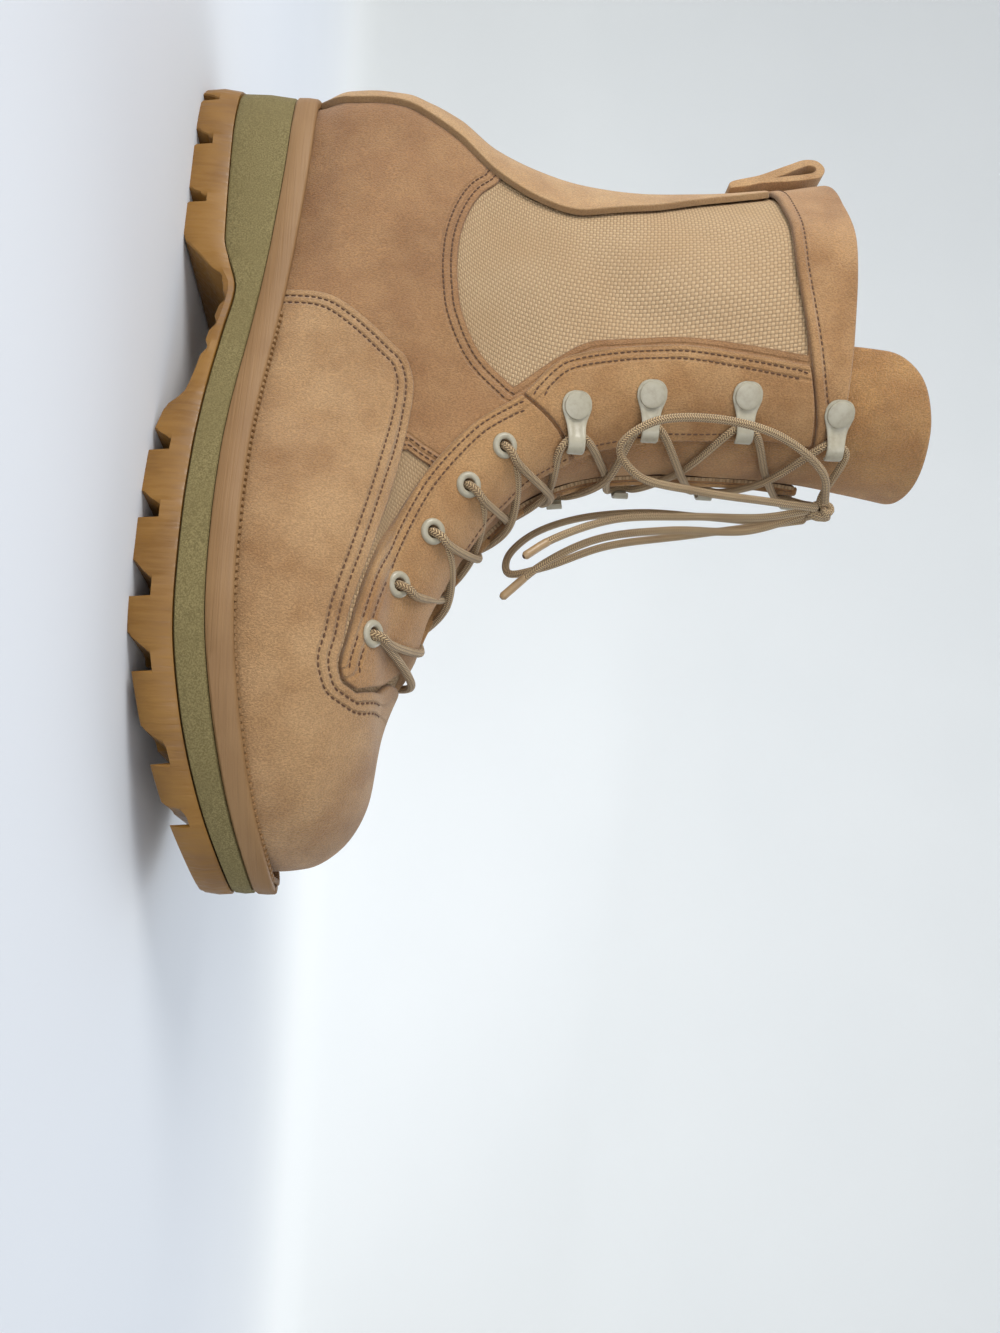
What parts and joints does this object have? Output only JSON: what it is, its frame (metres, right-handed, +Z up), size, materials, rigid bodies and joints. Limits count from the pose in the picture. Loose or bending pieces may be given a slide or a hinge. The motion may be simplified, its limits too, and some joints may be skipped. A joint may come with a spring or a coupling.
{
  "type": "combat boot",
  "caption": "Tall lace-up combat boot in suede and woven nylon on a lugged rubber sole with a foam wedge, open at the collar, standing on its sole.",
  "frame": {"origin": "middle of the boot's box on the floor, lace left out", "axes": "+X to the toe, +Z up, -Y to the outer side of this right boot"},
  "size_m": [0.324, 0.108, 0.2887],
  "materials": {
    "gum_rubber": "slightly glossy caramel rubber",
    "foam": "matt speckled olive foam",
    "tan_rubber": "smooth satin tan rubber",
    "lining": "matt cloth",
    "quarter_suede": "rough suede",
    "tongue_suede": "rough suede",
    "vamp_suede": "light tan rough suede",
    "cuff_suede": "tan rough suede",
    "painted_metal": "satin grey-beige paint",
    "lace_cord": "round braided cord"
  },
  "bodies": {
    "root": {"outsole": "gum_rubber", "midsole": "foam", "welt": "tan_rubber", "insole": "lining", "upper": "quarter_suede", "tongue": "tongue_suede", "vamp": "vamp_suede", "eyestay_lower": "vamp_suede", "eyestay_upper_outer": "vamp_suede", "eyestay_upper_inner": "vamp_suede", "cuff": "cuff_suede", "back_strap": "vamp_suede", "eyelet_outer_1": "painted_metal", "eyelet_outer_2": "painted_metal", "eyelet_outer_3": "painted_metal", "eyelet_outer_4": "painted_metal", "eyelet_outer_5": "painted_metal", "hook_outer_1": "painted_metal", "hook_outer_2": "painted_metal", "hook_outer_3": "painted_metal", "hook_outer_4": "painted_metal", "eyelet_inner_1": "painted_metal", "eyelet_inner_2": "painted_metal", "eyelet_inner_3": "painted_metal", "eyelet_inner_4": "painted_metal", "eyelet_inner_5": "painted_metal", "hook_inner_1": "painted_metal", "hook_inner_2": "painted_metal", "hook_inner_3": "painted_metal", "hook_inner_4": "painted_metal", "lace_crossings": "lace_cord", "lace_knot": "lace_cord", "lace_loop_outer": "lace_cord", "lace_loop_inner": "lace_cord", "lace_end_outer": "lace_cord", "lace_end_inner": "lace_cord"}
  },
  "joints": []
}
